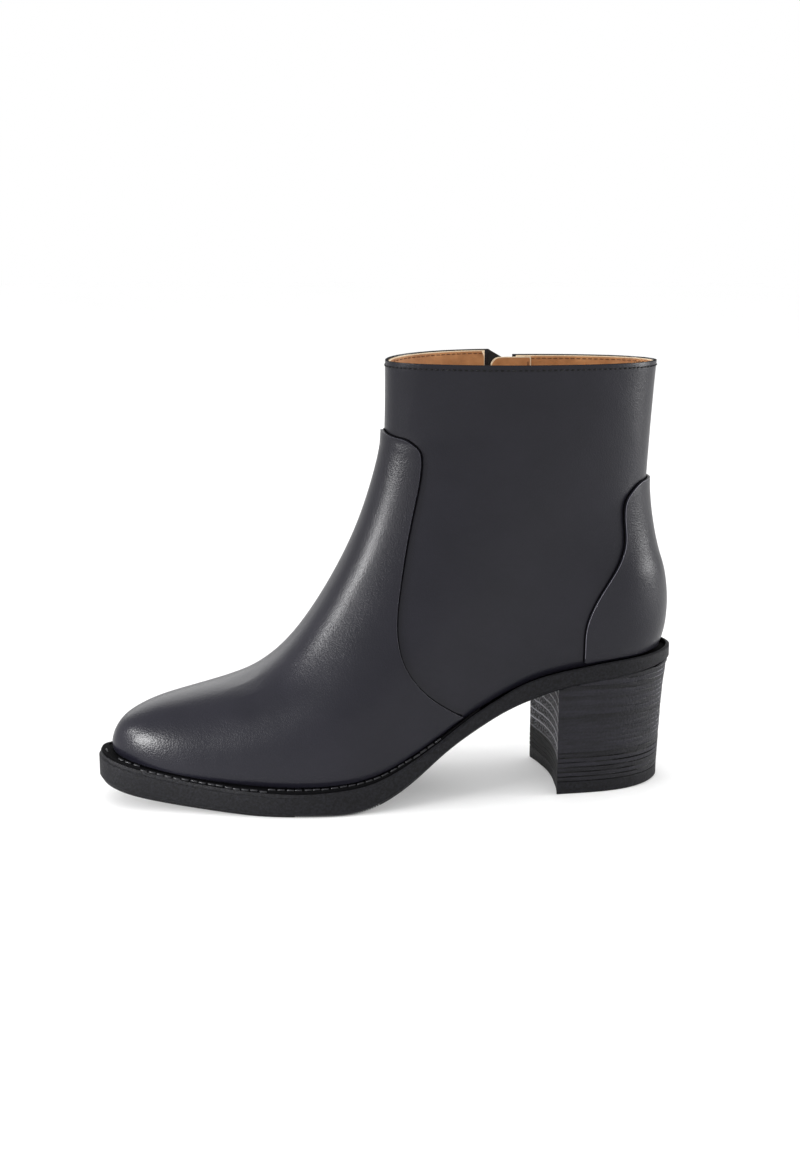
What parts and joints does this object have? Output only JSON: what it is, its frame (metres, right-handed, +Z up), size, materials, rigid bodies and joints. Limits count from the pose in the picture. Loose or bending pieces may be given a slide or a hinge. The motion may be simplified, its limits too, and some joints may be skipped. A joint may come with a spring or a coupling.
{
  "type": "heeled ankle boot",
  "caption": "Black leather ankle boot for the left foot with an almond toe, laid-over vamp and heel panels, inner side zip, stitched welt and stacked block heel.",
  "frame": {"origin": "centre of the bounding box at floor level", "axes": "-X toe, +X heel, -Y outer side of the left foot, +Y inner side with the zip, +Z up"},
  "size_m": [0.253, 0.0816, 0.1892],
  "materials": {
    "black_leather": "smooth calf, satin",
    "tan_leather": "vegetable tanned lining, matt",
    "welt_leather": "inked edge, satin",
    "sole_rubber": "moulded, matt",
    "stacked_leather": "stacked layers, inked and waxed",
    "zip_fabric": "woven tape with moulded coil",
    "zip_metal": "black lacquer"
  },
  "bodies": {
    "boot": {"upper": "black_leather", "vamp": "black_leather", "heel_counter": "black_leather", "insole": "tan_leather", "zip_guard": "tan_leather", "welt": "welt_leather", "outsole": "sole_rubber", "top_lift": "sole_rubber", "heel": "stacked_leather", "zip_tape": "zip_fabric", "zip_slider": "zip_metal"},
    "zip_pull": {"zip_pull": "zip_metal"}
  },
  "joints": [
    {"name": "zip_pull_swing", "type": "hinge", "parent": "boot", "child": "zip_pull", "pos_m": [0.0545, 0.03455, 0.176], "axis": [1, 0, 0], "range_deg": [0, 150]}
  ]
}
